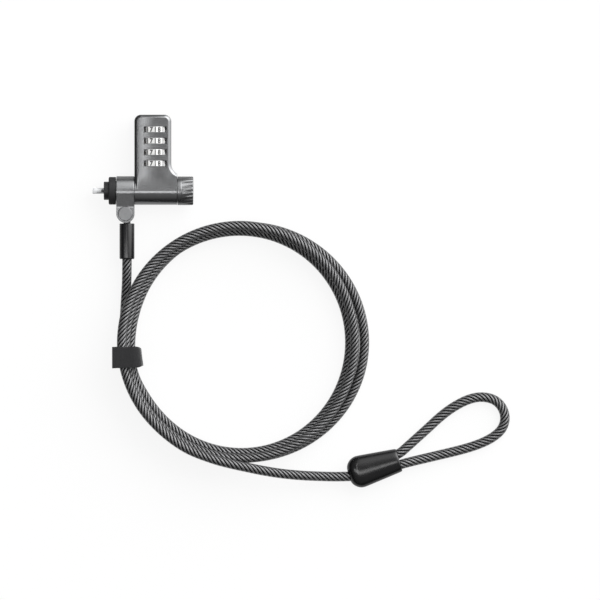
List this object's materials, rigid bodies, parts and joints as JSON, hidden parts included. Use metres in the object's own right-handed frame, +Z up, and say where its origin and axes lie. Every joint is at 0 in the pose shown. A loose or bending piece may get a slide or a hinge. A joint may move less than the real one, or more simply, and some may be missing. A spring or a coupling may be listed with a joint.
{
  "type": "laptop cable lock",
  "caption": "Swivelling combination lock head with a turning knob, a locking tip and number dials, on a coiled steel cable that ends in a crimped eye.",
  "frame": {"origin": "middle of the base of the lock head, the cable left out", "axes": "+X along the barrel from the locking tip to the knob, +Y up the dial case away from the cable, +Z up through the dials"},
  "size_m": [0.2038, 0.1827, 0.0213],
  "materials": {
    "barrel_metal": "satin",
    "collar_metal": "satin",
    "knob_metal": "satin",
    "dark_plate": "matte",
    "screw_black": "satin",
    "chrome_steel": "polished",
    "pin_steel": "satin",
    "spring_steel": "satin",
    "black_plastic": "matte",
    "bumper_rubber": "matte",
    "dark_steel": "satin",
    "inner_zinc": "satin",
    "inner_brass": "satin",
    "dial_plastic": "matte",
    "sleeve_metal": "satin",
    "cable_boot": "satin",
    "cable_jacket": "gloss",
    "crimp_gloss": "gloss",
    "strap_fabric": "matte"
  },
  "bodies": {
    "cable_assembly": {"cable_eyelet": "inner_zinc", "cable_sleeve": "cable_boot", "cable_lead": "cable_jacket", "cable_coil": "cable_jacket", "cable_tail": "cable_jacket", "cable_eye": "cable_jacket", "eye_ferrule": "inner_zinc", "crimp_cover": "crimp_gloss", "cable_strap": "strap_fabric"},
    "collar": {"swivel_collar": "collar_metal", "lug_pin": "pin_steel"},
    "head": {"body_casting": "barrel_metal", "back_cover": "dark_plate", "cover_screws": "screw_black", "dial_axle": "pin_steel", "axle_spacer": "inner_zinc", "detent_spring": "spring_steel", "nose_bush": "black_plastic", "guide_pins": "dark_steel", "bumper_ring": "bumper_rubber", "spindle_bush": "inner_zinc", "bush_pin": "pin_steel"},
    "spindle": {"lock_spindle": "chrome_steel", "lock_cam": "inner_brass", "knob": "knob_metal", "knob_screw": "pin_steel"},
    "lock_bar": {"locking_bar": "inner_brass"},
    "dial_wheel_1": {"dial_1": "dial_plastic", "dial_sleeve_1": "sleeve_metal"},
    "dial_wheel_2": {"dial_2": "dial_plastic", "dial_sleeve_2": "sleeve_metal"},
    "dial_wheel_3": {"dial_3": "dial_plastic", "dial_sleeve_3": "sleeve_metal"},
    "dial_wheel_4": {"dial_4": "dial_plastic", "dial_sleeve_4": "sleeve_metal"}
  },
  "joints": [
    {"name": "lug_pivot", "type": "hinge", "parent": "cable_assembly", "child": "collar", "pos_m": [-0.00847, -0.0221, 0.00715], "axis": [0, 0, 1], "range_deg": [-15, 90]},
    {"name": "head_swivel", "type": "hinge", "parent": "collar", "child": "head", "pos_m": [-0.00847, -0.0108, 0.00715], "axis": [1, 0, 0], "range_deg": [0, 135]},
    {"name": "knob_turn", "type": "hinge", "parent": "head", "child": "spindle", "pos_m": [0.0208, -0.0108, 0.00715], "axis": [1, 0, 0], "range_deg": [0, 90]},
    {"name": "bar_lift", "type": "slide", "parent": "head", "child": "lock_bar", "axis": [0, 1, 0], "range_m": [0, 0.0012]},
    {"name": "dial_1_turn", "type": "hinge", "parent": "head", "child": "dial_wheel_1", "pos_m": [0.00625, 0.0191, 0.0086], "axis": [0, 1, 0], "continuous": true},
    {"name": "dial_2_turn", "type": "hinge", "parent": "head", "child": "dial_wheel_2", "pos_m": [0.00625, 0.01356, 0.0086], "axis": [0, 1, 0], "continuous": true},
    {"name": "dial_3_turn", "type": "hinge", "parent": "head", "child": "dial_wheel_3", "pos_m": [0.00625, 0.00802, 0.0086], "axis": [0, 1, 0], "continuous": true},
    {"name": "dial_4_turn", "type": "hinge", "parent": "head", "child": "dial_wheel_4", "pos_m": [0.00625, 0.00248, 0.0086], "axis": [0, 1, 0], "continuous": true}
  ],
  "couplings": [
    {"joint": "bar_lift", "follows": "knob_turn", "m_per_rad": 0.00076}
  ]
}
